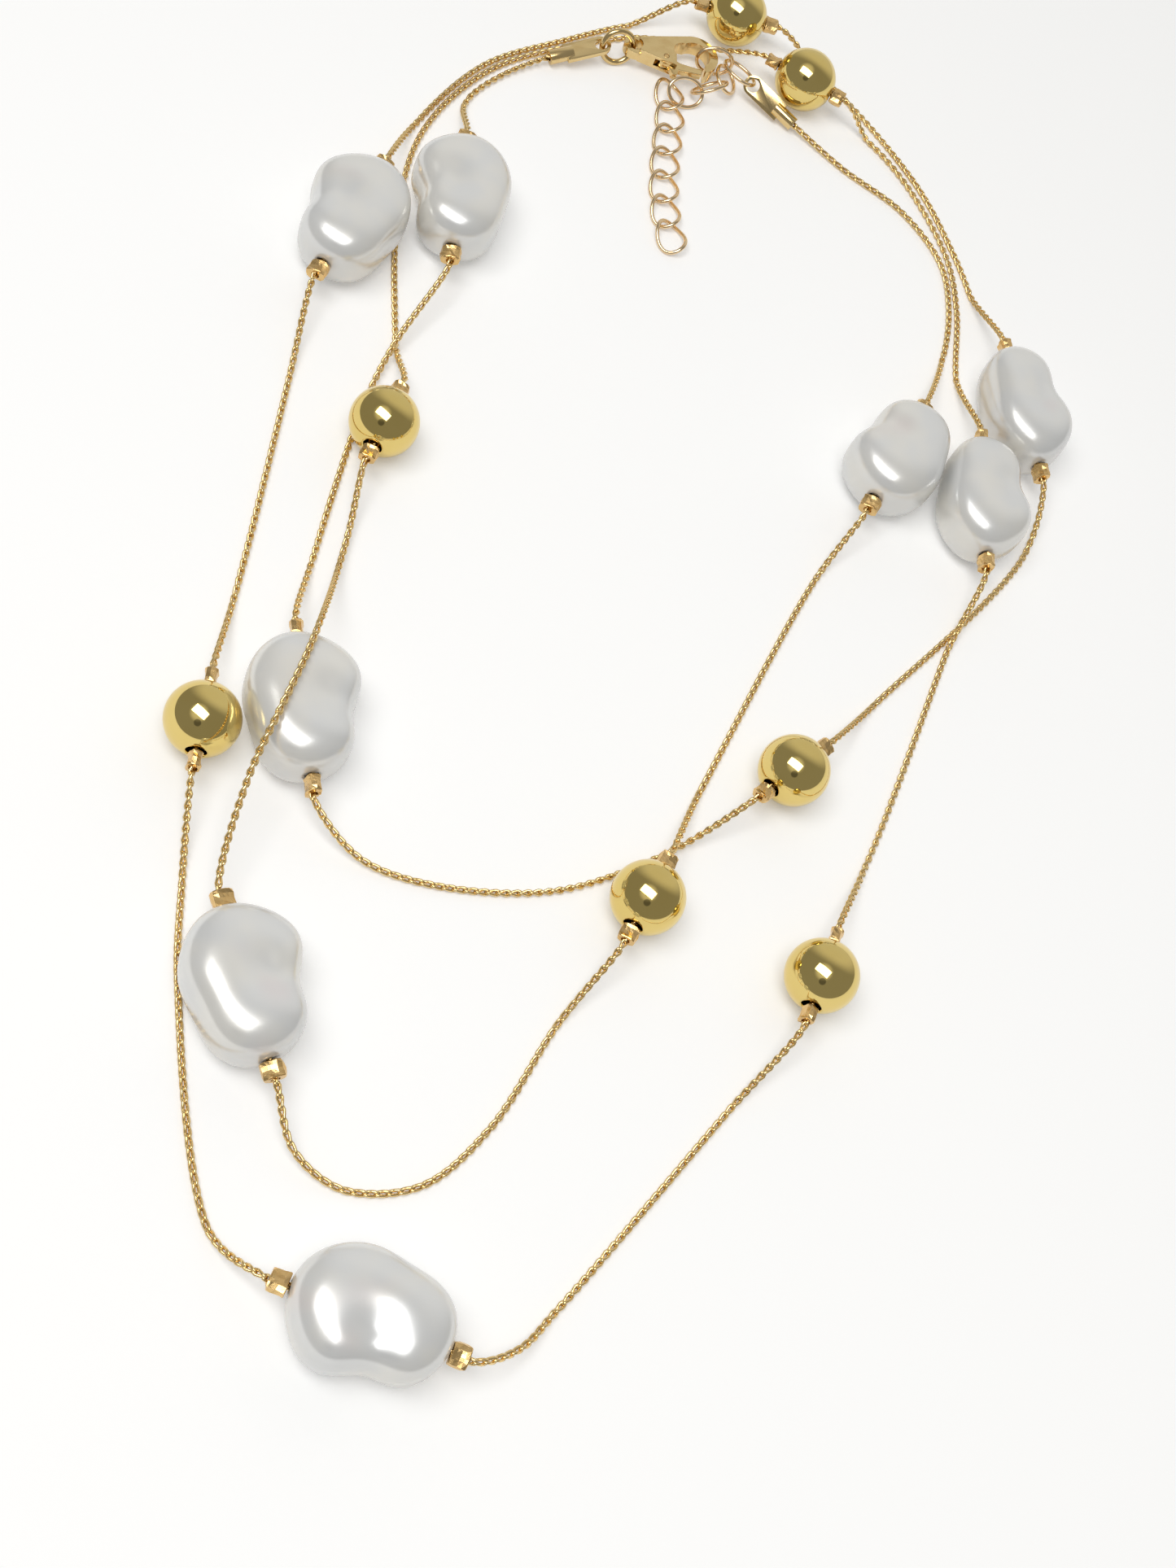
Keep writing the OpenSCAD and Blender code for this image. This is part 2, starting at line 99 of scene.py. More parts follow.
camera_data = bpy.data.cameras.new("camera")
camera_data.sensor_width = SENSOR_MM
camera_data.lens = LENS_MM
camera_data.clip_start = NEAREST_SEEN
camera = bpy.data.objects.new("camera", camera_data)
bpy.context.scene.collection.objects.link(camera)
camera.matrix_world = Matrix.Translation(EYE) @ Matrix(
    (PICTURE_RIGHT, PICTURE_UP, TO_EYE)).transposed().to_4x4()
bpy.context.scene.camera = camera
print("camera: lens", round(LENS_MM, 2), "mm,", round(EYE.z / MM), "mm above the table")

# %% [markdown]
# ## Where the chain runs
#
# A chain that lies on a table is a limp cord of fixed length. Its route repeats the points of
# the CAD model: straight through the bore of each bead, then down to the table and on to the
# next one. Each bead is given by its place on the table in millimetres, the heading of its bore
# in degrees, the side of a pearl's waist (0 for a ball) and the turn of its crimps. A stretch of
# chain lies low on the table, runs over another strand or along the ridge of a pearl.

# %% Beads and free stretches of the chain
LAYOUT_MID = Vector((7.28, 15.06, 0))
PEARL_L, PEARL_W, PEARL_T = 15.8, 12.2, 8.6
BALL_D, BALL_BORE_D = 8.0, 2.2
CHAIN_D = 0.8
CRIMP_L, CRIMP_SEAT, CRIMP_TAIL = 2.1, 0.15, 0.3
STRAND_GAP = 0.6
LOW = CHAIN_D / 2
OVER = LOW + CHAIN_D + STRAND_GAP
RIDGE = PEARL_T + CHAIN_D / 2 + STRAND_GAP / 2

BEADS = {
    "pearl_1": (38.4, 33.1, -121, -1, 15), "ball_1": (2.5, -26, -120, 0, 10),
    "pearl_2": (-38.8, -37.4, 106, -1, 10), "ball_2": (-24.1, 29.8, 68, 0, 5),
    "ball_3": (33.2955, 91.9017, -28, 0, 20), "pearl_3": (49.1, 28.2, -97, 1, 80),
    "ball_4": (21, -33.8, -115, 0, 75), "pearl_4": (-27.5, -69.2, 158, 1, 10),
    "ball_5": (-43.5, -9.1, 81, 0, 80), "pearl_5": (-27.5, 57.9, 65, 1, 10),
    "ball_6": (24.6, 101.3, -10, 0, 15), "pearl_6": (56.7, 42.4, -84.5, 1, 80),
    "ball_7": (20.5, -10, -142, 0, 20), "pearl_7": (-33.2, -7, 95, -1, 80),
    "pearl_8": (-14.5, 63.3, 82, 1, 10),
}
# How much longer and wider than the usual pearl
GROWN = {"pearl_1": (-0.6, -0.7), "pearl_3": (0.1, -1.4), "pearl_5": (0.7, -0.1),
         "pearl_6": (0.7, -1.8), "pearl_8": (0.3, -0.3)}
FREE_RUNS = [
    [(39, 80.7, LOW), (46.5, 75, LOW), (50.8, 67.5, LOW), (51, 60, LOW), (48.8, 51.5, LOW)],
    [(27.5, 17, LOW), (10.8, -11.5, LOW)],
    [(-7, -39, LOW), (-14.5, -50, LOW), (-21.5, -55.8, LOW), (-29, -56.3, LOW), (-34, -53, 2)],
    [(-39.3, -17, 7.4), (-36.5, -10.2, RIDGE), (-33.9, -3.9, RIDGE), (-32, 1.6, 8.2),
     (-29.2, 11, 2), (-27.7, 17, 1.4)],
    [(-21.8, 43.5, LOW), (-21, 63.5, LOW), (-17.5, 76.5, LOW), (-8.7, 88, LOW),
     (2.5, 94.5, LOW), (12, 98, LOW), (20, 98, LOW)],
    [(43, 86.5, LOW), (47.7, 80, LOW), (51.9, 68.5, LOW), (52.1, 60, LOW), (50.4, 49, LOW)],
    [(43.3, 9, LOW), (29.5, -19, LOW)],
    [(10.8, -47.4, LOW), (-8.5, -67.5, LOW), (-13, -71.6, 2.2)],
    [(-41.8, -60, LOW), (-45, -36, LOW), (-44.8, -25, LOW)],
    [(-40, 7.5, LOW), (-34.2, 36.5, LOW)],
    [(-18.5, 77.3, LOW), (-9.2, 88.9, LOW), (2, 95.5, LOW), (10.5, 99.8, LOW)],
    [(37.5, 96.6, LOW), (48.9, 80.7, LOW), (53, 69.3, LOW), (54.4, 62.8, LOW)],
    [(56, 24, LOW), (33, 1, LOW)],
    [(6, -19.4, LOW), (-6, -24.2, LOW), (-18, -24.6, LOW), (-27, -22.2, 1)],
    [(-31.8, 12.5, LOW), (-25.6, 34.5, LOW), (-22.2, 42.4, OVER)],
    [(-12, 82, LOW), (-7.6, 87.1, LOW)],
]


def bead_middle(name):
    x, y = BEADS[name][:2]
    return Vector((x, y, (PEARL_T if name.startswith("pearl") else BALL_D) / 2))


def bore_direction(name):
    heading = math.radians(BEADS[name][2])
    return Vector((math.cos(heading), math.sin(heading), 0))


def bead_end(name):
    if name.startswith("pearl"):
        return (PEARL_L + GROWN.get(name, (0, 0))[0]) / 2 + CRIMP_SEAT
    return math.sqrt(BALL_D ** 2 - BALL_BORE_D ** 2) / 2 + CRIMP_SEAT


print("beads:", len(BEADS), "with", len(FREE_RUNS), "free stretches of chain between them")

# %% [markdown]
# ## The tags that hold the two ends
#
# Each end of the chain is gripped by a small tag that slopes up to the clasp, so the chain's
# first and last millimetres follow the slope of its tag.

# %% Route of the chain
TAG_RISE = math.radians(10)
TAG_L, TAG_GRIP = 7.2, 1.8
CLASP_Z = 2.4
TAG_MOUTH_Z = CLASP_Z - TAG_L * math.sin(TAG_RISE)
TAG_TAIL = 1


def tag_point(mouth, heading, along):
    turn = math.radians(heading)
    return Vector((mouth[0] + along * math.cos(TAG_RISE) * math.cos(turn),
                   mouth[1] + along * math.cos(TAG_RISE) * math.sin(turn),
                   TAG_MOUTH_Z + along * math.sin(TAG_RISE)))


TAG_LEFT = ((-0.9, 91.1), 19)
TAG_RIGHT = ((32.08, 86.52), 142)
route = [tag_point(*TAG_RIGHT, TAG_GRIP), tag_point(*TAG_RIGHT, -TAG_TAIL)]
for bead, run in zip(list(BEADS) + [None], FREE_RUNS):
    route += [Vector(point) for point in run]
    if bead:
        reach = bead_end(bead) + CRIMP_L + CRIMP_TAIL
        route += [bead_middle(bead) + along * bore_direction(bead)
                  for along in (-reach, -bead_end(bead), bead_end(bead), reach)]
route += [tag_point(*TAG_LEFT, -TAG_TAIL), tag_point(*TAG_LEFT, TAG_GRIP)]
route = [(point - LAYOUT_MID) * MM for point in route]
print("route:", len(route), "points")

# %% [markdown]
# A smooth line through the points could be a Blender curve, but the links need a place and a
# direction every millimetre, so the line is sampled here: a Catmull-Rom spline whose knots are
# spaced by the square root of the distance doesn't loop or overshoot at uneven points.
# The line never sinks below the height at which the chain lies on the table.

# %% Smooth line of the chain
STEP = 0.25 * MM


def between(a, b, ta, tb, t):
    return a * ((tb - t) / (tb - ta)) + b * ((t - ta) / (tb - ta))


def smooth_line(points):
    ends = [2 * points[0] - points[1]] + points + [2 * points[-1] - points[-2]]
    line = []
    for p0, p1, p2, p3 in zip(ends, ends[1:], ends[2:], ends[3:]):
        t0 = 0
        t1 = t0 + math.sqrt((p1 - p0).length)
        t2 = t1 + math.sqrt((p2 - p1).length)
        t3 = t2 + math.sqrt((p3 - p2).length)
        count = max(2, round((p2 - p1).length / STEP))
        for i in range(count):
            t = t1 + (t2 - t1) * i / count
            a = between(p0, p1, t0, t1, t)
            b = between(p1, p2, t1, t2, t)
            c = between(p2, p3, t2, t3, t)
            point = between(between(a, b, t0, t2, t), between(b, c, t1, t3, t), t1, t2, t)
            point.z = max(point.z, LOW * MM)
            line.append(point)
    line.append(points[-1].copy())
    return line


chain_line = smooth_line(route)
chain_length = sum((b - a).length for a, b in zip(chain_line, chain_line[1:]))
print("chain:", round(chain_length / MM), "mm long")

# %% [markdown]
# ## Making objects
#
# Every piece is a mesh whose place is in its vertices, with its object left at the origin.
# One helper turns a finished bmesh into such an object, smooth shaded, lets it ride on its
# body, hides the CAD node it stands for and says which finish it takes. Shapes are thought out
# in millimetres, so a second helper scales them to Blender's metres.

# %% Helpers that finish a piece
def to_metres(bm):
    bmesh.ops.scale(bm, vec=(MM, MM, MM), verts=bm.verts)


def finish_piece(bm, name, body, slot, node, smooth=True):
    bmesh.ops.recalc_face_normals(bm, faces=bm.faces)
    for face in bm.faces:
        face.smooth = smooth
    mesh = bpy.data.meshes.new(name)
    bm.to_mesh(mesh)
    bm.free()
    piece = bpy.data.objects.new(name, mesh)
    bpy.context.scene.collection.objects.link(piece)
    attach(piece, body)
    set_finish(piece, slot)
    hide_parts(node)
    print("made", name, "with", len(mesh.polygons), "faces")
    return piece


# %% [markdown]
# ## Chain
#
# The chain is a fine curb chain: small oval links of round wire, each twisted a little so that
# all of them lie flat in a row and read as slanted beads with a dark dot in the middle. A tube
# with a bump pattern would look smooth at its edges. Real links are cheap when one link has only
# a few dozen faces: a circle is spun into a ring, then bent to the oval, and copies of it follow
# the line. The plane of the links rolls slowly along the chain, as a limp chain does.

# %% Oval link of wire
NEARBY = 0.01


def add_oval_link(bm, length, width, wire, twist, steps, sides):
    """Adds a ring of wire round Z, bent to an oval in X and Y and twisted out of its plane."""
    ring_r = (length + width) / 4 - wire / 2
    section = Matrix.Translation((ring_r, 0, 0)) @ Matrix.Rotation(math.radians(90), 4, "X")
    made = bmesh.ops.create_circle(bm, segments=sides, radius=wire / 2, matrix=section)
    edges = list({edge for vert in made["verts"] for edge in vert.link_edges})
    bmesh.ops.spin(bm, geom=made["verts"] + edges, cent=(0, 0, 0), axis=(0, 0, 1),
                   angle=math.tau, steps=steps, use_merge=True)
    half_l, half_w = (length - wire) / 2, (width - wire) / 2

    def curve(a):
        return Vector((half_l * math.cos(a), half_w * math.sin(a), twist * math.sin(2 * a)))

    for vert in bm.verts:
        a = math.atan2(vert.co.y, vert.co.x)
        along = (curve(a + NEARBY) - curve(a - NEARBY)).normalized()
        side = along.cross(Vector((0, 0, 1))).normalized()
        up = side.cross(along)
        vert.co = curve(a) + (math.hypot(vert.co.x, vert.co.y) - ring_r) * side + vert.co.z * up


# %% Chain of small links
LINK_PITCH = 1.15 * MM
LINK_WIRE = 0.35 * MM
LINK_WIDTH = CHAIN_D * MM
LINK_TWIST = 0.2 * MM
LINK_STEPS, LINK_SIDES = 12, 5
LONG_ROLL, LONG_ROLL_WAVE = math.radians(40), 17 * MM
SHORT_ROLL, SHORT_ROLL_WAVE = math.radians(25), 7.1 * MM

one = bmesh.new()
add_oval_link(one, LINK_PITCH + 2 * LINK_WIRE, LINK_WIDTH, LINK_WIRE, LINK_TWIST,
              LINK_STEPS, LINK_SIDES)
link_mesh = bpy.data.meshes.new("one_link")
one.to_mesh(link_mesh)
one.free()


def roll_at(along):
    return (LONG_ROLL * math.sin(along / LONG_ROLL_WAVE)
            + SHORT_ROLL * math.sin(along / SHORT_ROLL_WAVE + 1))


def places_along(line, pitch):
    """A matrix every pitch along the line: X runs on, Z is up before the slow roll."""
    gone, due = 0.0, pitch / 2
    for a, b in zip(line, line[1:]):
        part = (b - a).length
        while part and due <= gone + part:
            middle = a.lerp(b, (due - gone) / part)
            ahead = (b - a).normalized()
            side = Vector((0, 0, 1)).cross(ahead).normalized()
            turn = Matrix((ahead, side, ahead.cross(side))).transposed().to_4x4()
            yield Matrix.Translation(middle) @ turn @ Matrix.Rotation(roll_at(due), 4, "X")
            due += pitch
        gone += part


chain_bm = bmesh.new()
for place in places_along(chain_line, LINK_PITCH):
    copy = link_mesh.copy()
    copy.transform(place)
    chain_bm.from_mesh(copy)
    bpy.data.meshes.remove(copy)
bpy.data.meshes.remove(link_mesh)
chain = finish_piece(chain_bm, "fine_chain", "strand", "chain_gold", "chain")
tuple(chain_line[0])

# %% [markdown]
# ## Pearls
#
# The pearls are moulded, all in one shape and nearly one size: a rounded bean with a waist on one
# side, flat faces with a shallow hollow, and a steep side wall. A sculpted lump could do, but the
# outline is known as a few waves round the middle, so each point of a sphere is moved out along
# its own direction to a boxy section of that outline. The sphere's poles lie on the bore: they
# are taken away, the rims are drawn in to the size of the hole and bridged to each other.

# %% Shape of a pearl
OUTLINE_COS = (6.95, 0.15, 1.05, -0.25, -0.05, 0.1)
OUTLINE_SIN = (0, -0.2, 0.1, -0.05, -0.05, -0.05)
RIM_POWER = 3.2
HOLLOW, HOLLOW_AT, HOLLOW_R = 0.7, Vector((-0.5, 2.0)), 2.8
WAIST, WAIST_AT, WAIST_R = 0.55, -1.2, 2.8
WAIST_FADE, WAIST_MIDDLE, WAIST_FACES = 4, 0.7, 0.9
PEARL_BORE_R, PEARL_RIM, PEARL_RIM_DEPTHS = 0.8, math.radians(6.5), (0, 0.2)
BEAD_RINGS, BEAD_STEPS = 64, 96
OUTLINE_STEPS = 36


def outline_r(a):
    return sum(c * math.cos(n * a) + s * math.sin(n * a)
               for n, (c, s) in enumerate(zip(OUTLINE_COS, OUTLINE_SIN)))


def on_pearl(direction):
    """The point of the pearl's surface that lies in this direction from its middle, in mm."""
    flat = math.hypot(direction.x, direction.y)
    reach = (abs(flat / outline_r(math.atan2(direction.y, direction.x))) ** RIM_POWER
             + abs(direction.z / (PEARL_T / 2)) ** RIM_POWER) ** (-1 / RIM_POWER)
    point = direction * reach
    away = (point.xy - HOLLOW_AT).length_squared / HOLLOW_R ** 2
    point.z *= 1 - HOLLOW * math.exp(-away) / (PEARL_T / 2)
    if point.y > 0:
        share = min(1, point.y / WAIST_FADE)
        lean = WAIST_MIDDLE + WAIST_FACES * abs(point.z) / (PEARL_T / 2)
        along = (point.x - WAIST_AT) / WAIST_R
        point.y -= WAIST * lean * share * share * (3 - 2 * share) * math.exp(-along * along)
    return point


def place_bead(name):
    turn = math.radians(BEADS[name][2])
    return Matrix.Translation((bead_middle(name) - LAYOUT_MID) * MM) @ Matrix.Rotation(turn, 4, "Z")


POLES_ON_X = Matrix.Rotation(math.radians(90), 4, "Y")


def drilled_sphere(rim_angle):
    """A unit sphere with its poles on X, opened at the poles; returns it and its two rims."""
    bm = bmesh.new()
    bmesh.ops.create_uvsphere(bm, u_segments=BEAD_STEPS, v_segments=BEAD_RINGS, radius=1,
                              matrix=POLES_ON_X)
    inside = [v for v in bm.verts if math.acos(min(1, abs(v.co.x))) < rim_angle]
    bmesh.ops.delete(bm, geom=inside, context="VERTS")
    return bm, [e for e in bm.edges if e.is_boundary]


def next_rim(bm, rim):
    """Extrudes both rims; returns the edges and the vertices of the new ones."""
    made = bmesh.ops.extrude_edge_only(bm, edges=rim)["geom"]
    edges = [e for e in made if isinstance(e, bmesh.types.BMEdge)]
    return edges, {v for e in edges for v in e.verts}


OUTLINE = [outline_r(a) * Vector((math.cos(a), math.sin(a)))
           for a in (math.tau * i / OUTLINE_STEPS for i in range(OUTLINE_STEPS))]
TO_LENGTH = PEARL_L / (max(p.x for p in OUTLINE) - min(p.x for p in OUTLINE))
TO_WIDTH = PEARL_W / (max(p.y for p in OUTLINE) - min(p.y for p in OUTLINE))

for name in BEADS:
    if not name.startswith("pearl"):
        continue
    bm, rim = drilled_sphere(PEARL_RIM)
    longer, wider = GROWN.get(name, (0, 0))
    size_x = TO_LENGTH * (1 + longer / PEARL_L)
    size_y = TO_WIDTH * (1 + wider / PEARL_W) * BEADS[name][3]
    for v in bm.verts:
        v.co = on_pearl(v.co)
    size_z = PEARL_T / 2 / max(v.co.z for v in bm.verts)
    bmesh.ops.scale(bm, vec=(size_x, size_y, size_z), verts=bm.verts)
    for depth in PEARL_RIM_DEPTHS:
        rim, verts = next_rim(bm, rim)
        for v in verts:
            around = math.atan2(v.co.z, v.co.y)
            v.co.x -= math.copysign(depth, v.co.x)
            v.co.y = PEARL_BORE_R * math.cos(around)
            v.co.z = PEARL_BORE_R * math.sin(around)
    bmesh.ops.bridge_loops(bm, edges=rim)
    to_metres(bm)
    bmesh.ops.transform(bm, matrix=place_bead(name), verts=bm.verts)
    finish_piece(bm, name + "_moulded", name + "_body", "pearl", name)

# %% [markdown]
# ## Balls
#
# The gold balls are hollow pressed beads, mirror polished, with a wide hole at each end. A lathe
# profile would do as well, but the drilled sphere of the pearls is already at hand: its rim is
# set to the size of the hole and the rim turns inwards.

# %% Balls
BALL_R, BALL_BORE_R = BALL_D / 2, BALL_BORE_D / 2
RIM_MARGIN = math.radians(0.5)
BALL_RIM = math.asin(BALL_BORE_R / BALL_R) - RIM_MARGIN
# How far each turn of the rim draws in, and how deep it goes
RIM_TURNS = ((0.95, 0.06), (0.96, 0.2), (1, 0.35))
for name in BEADS:
    if not name.startswith("ball"):
        continue
    bm, rim = drilled_sphere(BALL_RIM)
    bmesh.ops.scale(bm, vec=(BALL_R, BALL_R, BALL_R), verts=bm.verts)
    for squeeze, depth in RIM_TURNS:
        rim, verts = next_rim(bm, rim)
        for v in verts:
            v.co.x -= math.copysign(depth, v.co.x)
            v.co.y *= squeeze
            v.co.z *= squeeze
    bmesh.ops.bridge_loops(bm, edges=rim)
    to_metres(bm)
    bmesh.ops.transform(bm, matrix=place_bead(name), verts=bm.verts)
    finish_piece(bm, name + "_polished", name + "_body", "polished_gold", name)

# %% [markdown]
# ## Crimps
#
# Each bead is stopped on both sides by a crimp: a short tube that pliers have crushed flat on the
# chain, so it is a boxy oval with dented faces and an open end where the chain goes in. A cylinder
# is cut into rings, squeezed to that section, given its dents, and its two ends are inset and
# pushed in for the hole.

# %% Crimps
# Length, width and thickness
CRIMP_PEARL = (1.8, 2.6, 1.6)
CRIMP_BALL = (1.7, 2.2, 1.5)
CRIMP_POWER = 3.4
CRIMP_SIDES, CRIMP_CUTS = 14, 3
CRIMP_HOLE_R, CRIMP_HOLE_DEPTH = 0.5, 0.4
CRIMP_NEARER = 0.03
CRIMP_EDGE = 0.12
CRIMP_INSETS = ((0.2, 0), (0.03, CRIMP_HOLE_DEPTH))
END_PINCH, MIDDLE_SHARE, END_FLARE = 0.08, 0.8, 0.22
DENTED, DENTS, DENTS_ALONG, DENTS_AROUND, DENTS_APART = 0.96, 0.12, 1.7, 2.6, 9
SKEW, SKEW_AROUND, SKEW_APART = 0.1, 1.5, 7


def crushed_tube(number, length, width, thickness):
    bm = bmesh.new()
    bmesh.ops.create_cone(bm, cap_ends=True, cap_tris=False, segments=CRIMP_SIDES, radius1=1,
                          radius2=1, depth=length, matrix=POLES_ON_X)
    long_edges = [e for e in bm.edges if abs(e.verts[0].co.x - e.verts[1].co.x) > length / 2]
    bmesh.ops.subdivide_edges(bm, edges=long_edges, cuts=CRIMP_CUTS, use_grid_fill=True)
    for v in bm.verts:
        off_middle = (v.co.x / (length / 2)) ** 2
        half_w = width / 2 * (1 - END_PINCH * off_middle)
        half_t = thickness / 2 * (MIDDLE_SHARE + END_FLARE * off_middle)
        around = math.atan2(v.co.z, v.co.y)
        y, z = math.cos(around), math.sin(around)
        reach = (abs(y / half_w) ** CRIMP_POWER
                 + abs(z / half_t) ** CRIMP_POWER) ** (-1 / CRIMP_POWER)
        dent = noise.noise(Vector((v.co.x * DENTS_ALONG + DENTS_APART * number,
                                   y * DENTS_AROUND, z * DENTS_AROUND)))
        reach *= DENTED + DENTS * dent
        v.co.y, v.co.z = y * reach, z * reach
        v.co.x += SKEW * noise.noise(Vector((SKEW_APART * number,
                                             y * SKEW_AROUND, z * SKEW_AROUND)))
    rims = [e for f in bm.faces if len(f.verts) == CRIMP_SIDES for e in f.edges]
    bmesh.ops.bevel(bm, geom=rims, offset=CRIMP_EDGE, offset_type="OFFSET", segments=2,
                    profile=0.5, affect="EDGES", clamp_overlap=True, material=-1)
    for step, sink in CRIMP_INSETS:
        for cap in [f for f in bm.faces if len(f.verts) == CRIMP_SIDES]:
            bmesh.ops.inset_individual(bm, faces=[cap], thickness=step)
            for v in cap.verts:
                around = math.atan2(v.co.z, v.co.y)
                v.co.x -= math.copysign(sink, v.co.x)
                v.co.y = CRIMP_HOLE_R * math.cos(around)
                v.co.z = CRIMP_HOLE_R * math.sin(around)
    return bm


crimp_count = 0
for name, (*_, waist, crimp_turn) in BEADS.items():
    both = bmesh.new()
    length, width, thickness = CRIMP_PEARL if waist else CRIMP_BALL
    for side in (-1, 1):
        crimp_count += 1
        bm = crushed_tube(crimp_count, length, width, thickness)
        middle = bead_end(name) - CRIMP_NEARER + length / 2
        place = Matrix.Translation((side * middle, 0, 0)) @ Matrix.Rotation(
            math.radians(side * crimp_turn), 4, "X")
        bmesh.ops.transform(bm, matrix=place, verts=bm.verts)
        to_metres(bm)
        mesh = bpy.data.meshes.new("crimp")
        bm.to_mesh(mesh)
        bm.free()
        both.from_mesh(mesh)
        bpy.data.meshes.remove(mesh)
    bmesh.ops.transform(both, matrix=place_bead(name), verts=both.verts)
    finish_piece(both, "crimps_of_" + name, "strand", "dull_gold", "crimps_" + name, smooth=False)

# %% [markdown]
# ## Extender
#
# Twelve thin rosy links make the extender. The clasp is hooked into the second one, three lie
# tumbled under the clasp and the rest hang in a row. They are the same bent ring of wire as the
# chain's links, only larger and with more faces, because each one is seen as an open loop.

# %% Extender links
LOOP_L, LOOP_W, LOOP_WIRE, LOOP_TWIST = 5.3, 4.1, 0.5, 0.5
LOOP_STEPS, LOOP_SIDES = 48, 12
HANG_Z = 0.8
LINK_2_AT = Vector((21.376, 94.082))
HANG_JOINTS = [(15.126, 90.482), (15.194, 86.532), (14.713, 82.612), (13.959, 78.734),
               (13.41, 74.823), (13.065, 70.888), (13.134, 66.938), (13.82, 63.048)]
HANG_HEADINGS = (-89, -97, -101, -98, -95, -89, -80)
# Each link: place on the table, height, heading, turn about its length, tip, twist
extender = [((24.793, 92.77), CLASP_Z, -48, -20, 0, 0),
            (LINK_2_AT, CLASP_Z, -3, 74, 0, 0),
            (LINK_2_AT + Vector((1.75, -1.9)), 1.41, -111.5, -34, -14, 0),
            (LINK_2_AT + Vector((-0.85, -4.15)), 1.78, -163.5, 41, 17.5, 0),
            (LINK_2_AT + Vector((-4.2, -5.5)), 1.61, -179, -46, -9, 0)]
for a, b, heading in zip(HANG_JOINTS, HANG_JOINTS[1:], HANG_HEADINGS):
    extender.append(((Vector(a) + Vector(b)) / 2, HANG_Z, heading, 0, 0, LOOP_TWIST))


def turned(x, y, z):
    return (Matrix.Rotation(math.radians(z), 4, "Z") @ Matrix.Rotation(math.radians(y), 4, "Y")
            @ Matrix.Rotation(math.radians(x), 4, "X"))


for number, (at, height, heading, turn, tip, twist) in enumerate(extender, 1):
    bm = bmesh.new()
    add_oval_link(bm, LOOP_L, LOOP_W, LOOP_WIRE, twist, LOOP_STEPS, LOOP_SIDES)
    middle = Vector((at[0], at[1], height)) - LAYOUT_MID
    place = Matrix.Translation(middle) @ turned(turn, tip, heading)
    bmesh.ops.transform(bm, matrix=place, verts=bm.verts)
    to_metres(bm)
    finish_piece(bm, "extender_loop_%d" % number, "link_%d_body" % number, "rose_gold",
                 "link_%d" % number)

# %% [markdown]
# ## Clasp, tags and jump ring
#
# These are small stamped and cast pieces whose CAD solids already have the right shape, only with
# knife-sharp edges. Modelling them again would risk their fit, so a copy of each CAD mesh is
# merged, its flat triangles are joined, and its edges are rounded. The jump ring is one more
# ring of wire.

# %% Softened copies of CAD pieces
WELD, FLAT, SHARP = 0.002 * MM, math.radians(2), math.radians(35)


def softened_copy(node, body, slot, name, round_off):
    bm = bmesh.new()
    bm.from_mesh(frame["nodes"][node].data)
    bmesh.ops.remove_doubles(bm, verts=bm.verts, dist=WELD)
    bmesh.ops.dissolve_limit(bm, angle_limit=FLAT, verts=bm.verts, edges=bm.edges,
                             use_dissolve_boundaries=False)
    sharp = [e for e in bm.edges if e.is_manifold and e.calc_face_angle() > SHARP]
    bmesh.ops.bevel(bm, geom=sharp, offset=round_off * MM, offset_type="OFFSET", segments=3,
                    profile=0.5, affect="EDGES", clamp_overlap=True, material=-1)
    finish_piece(bm, name, body, slot, node)


softened_copy("clasp_body", "clasp", "clasp_gold", "clasp_claw", round_off=0.28)
softened_copy("clasp_lever", "lever", "clasp_gold", "clasp_trigger", round_off=0.15)
softened_copy("clasp_pin", "clasp", "dull_gold", "clasp_rivet", round_off=0.08)
softened_copy("tag_left", "strand", "clasp_gold", "end_tag_left", round_off=0.12)
softened_copy("tag_right", "strand", "clasp_gold", "end_tag_right", round_off=0.12)

# %% Jump ring
RING_D, RING_WIRE, RING_STEPS, RING_SIDES = 5.0, 0.8, 64, 16
RING_AT, RING_TURN, RING_HEADING = Vector((8.107, 93.732, CLASP_Z)), 70, 8
ring_bm = bmesh.new()
add_oval_link(ring_bm, RING_D, RING_D, RING_WIRE, 0, RING_STEPS, RING_SIDES)
place = Matrix.Translation(RING_AT - LAYOUT_MID) @ turned(RING_TURN, 0, RING_HEADING)
bmesh.ops.transform(ring_bm, matrix=place, verts=ring_bm.verts)
to_metres(ring_bm)
finish_piece(ring_bm, "jump_ring_round", "jump_ring_body", "clasp_gold", "jump_ring")

# %% [markdown]
# ## Finishes
#
# All finishes are made of shader nodes. Written out one by one, nodes bury the idea, so a small
# class wraps a node's output and takes plain arithmetic: adding two outputs, or a number and an
# output, makes the Math node. Every other node comes from its method called node.

# %% Arithmetic on shader outputs
class Shade:
    """An output of one material's nodes. Arithmetic on it adds Math nodes."""

    def __init__(self, tree, output=None):
        self.tree, self.output = tree, output

    def node(self, kind, settings=None, inputs=None, output=0):
        made = self.tree.nodes.new(kind)
        for key, value in (settings or {}).items():
            setattr(made, key, value)
        for key, value in (inputs or {}).items():
            if isinstance(value, Shade):
                self.tree.links.new(value.output, made.inputs[key])
            else:
                made.inputs[key].default_value = value
        return Shade(self.tree, made.outputs[output]) if made.outputs else None

    def maths(self, operation, a, b):
        return self.node("ShaderNodeMath", {"operation": operation}, {0: a, 1: b})

    def __add__(self, other):
        return self.maths("ADD", self, other)

    def __radd__(self, other):
        return self.maths("ADD", other, self)

    def __mul__(self, other):
        return self.maths("MULTIPLY", self, other)

    def __rsub__(self, other):
        return self.maths("SUBTRACT", other, self)


def start_finish(name):
    material = bpy.data.materials.new(name)
    material.use_nodes = True
    material.node_tree.nodes.clear()
    return material, Shade(material.node_tree)


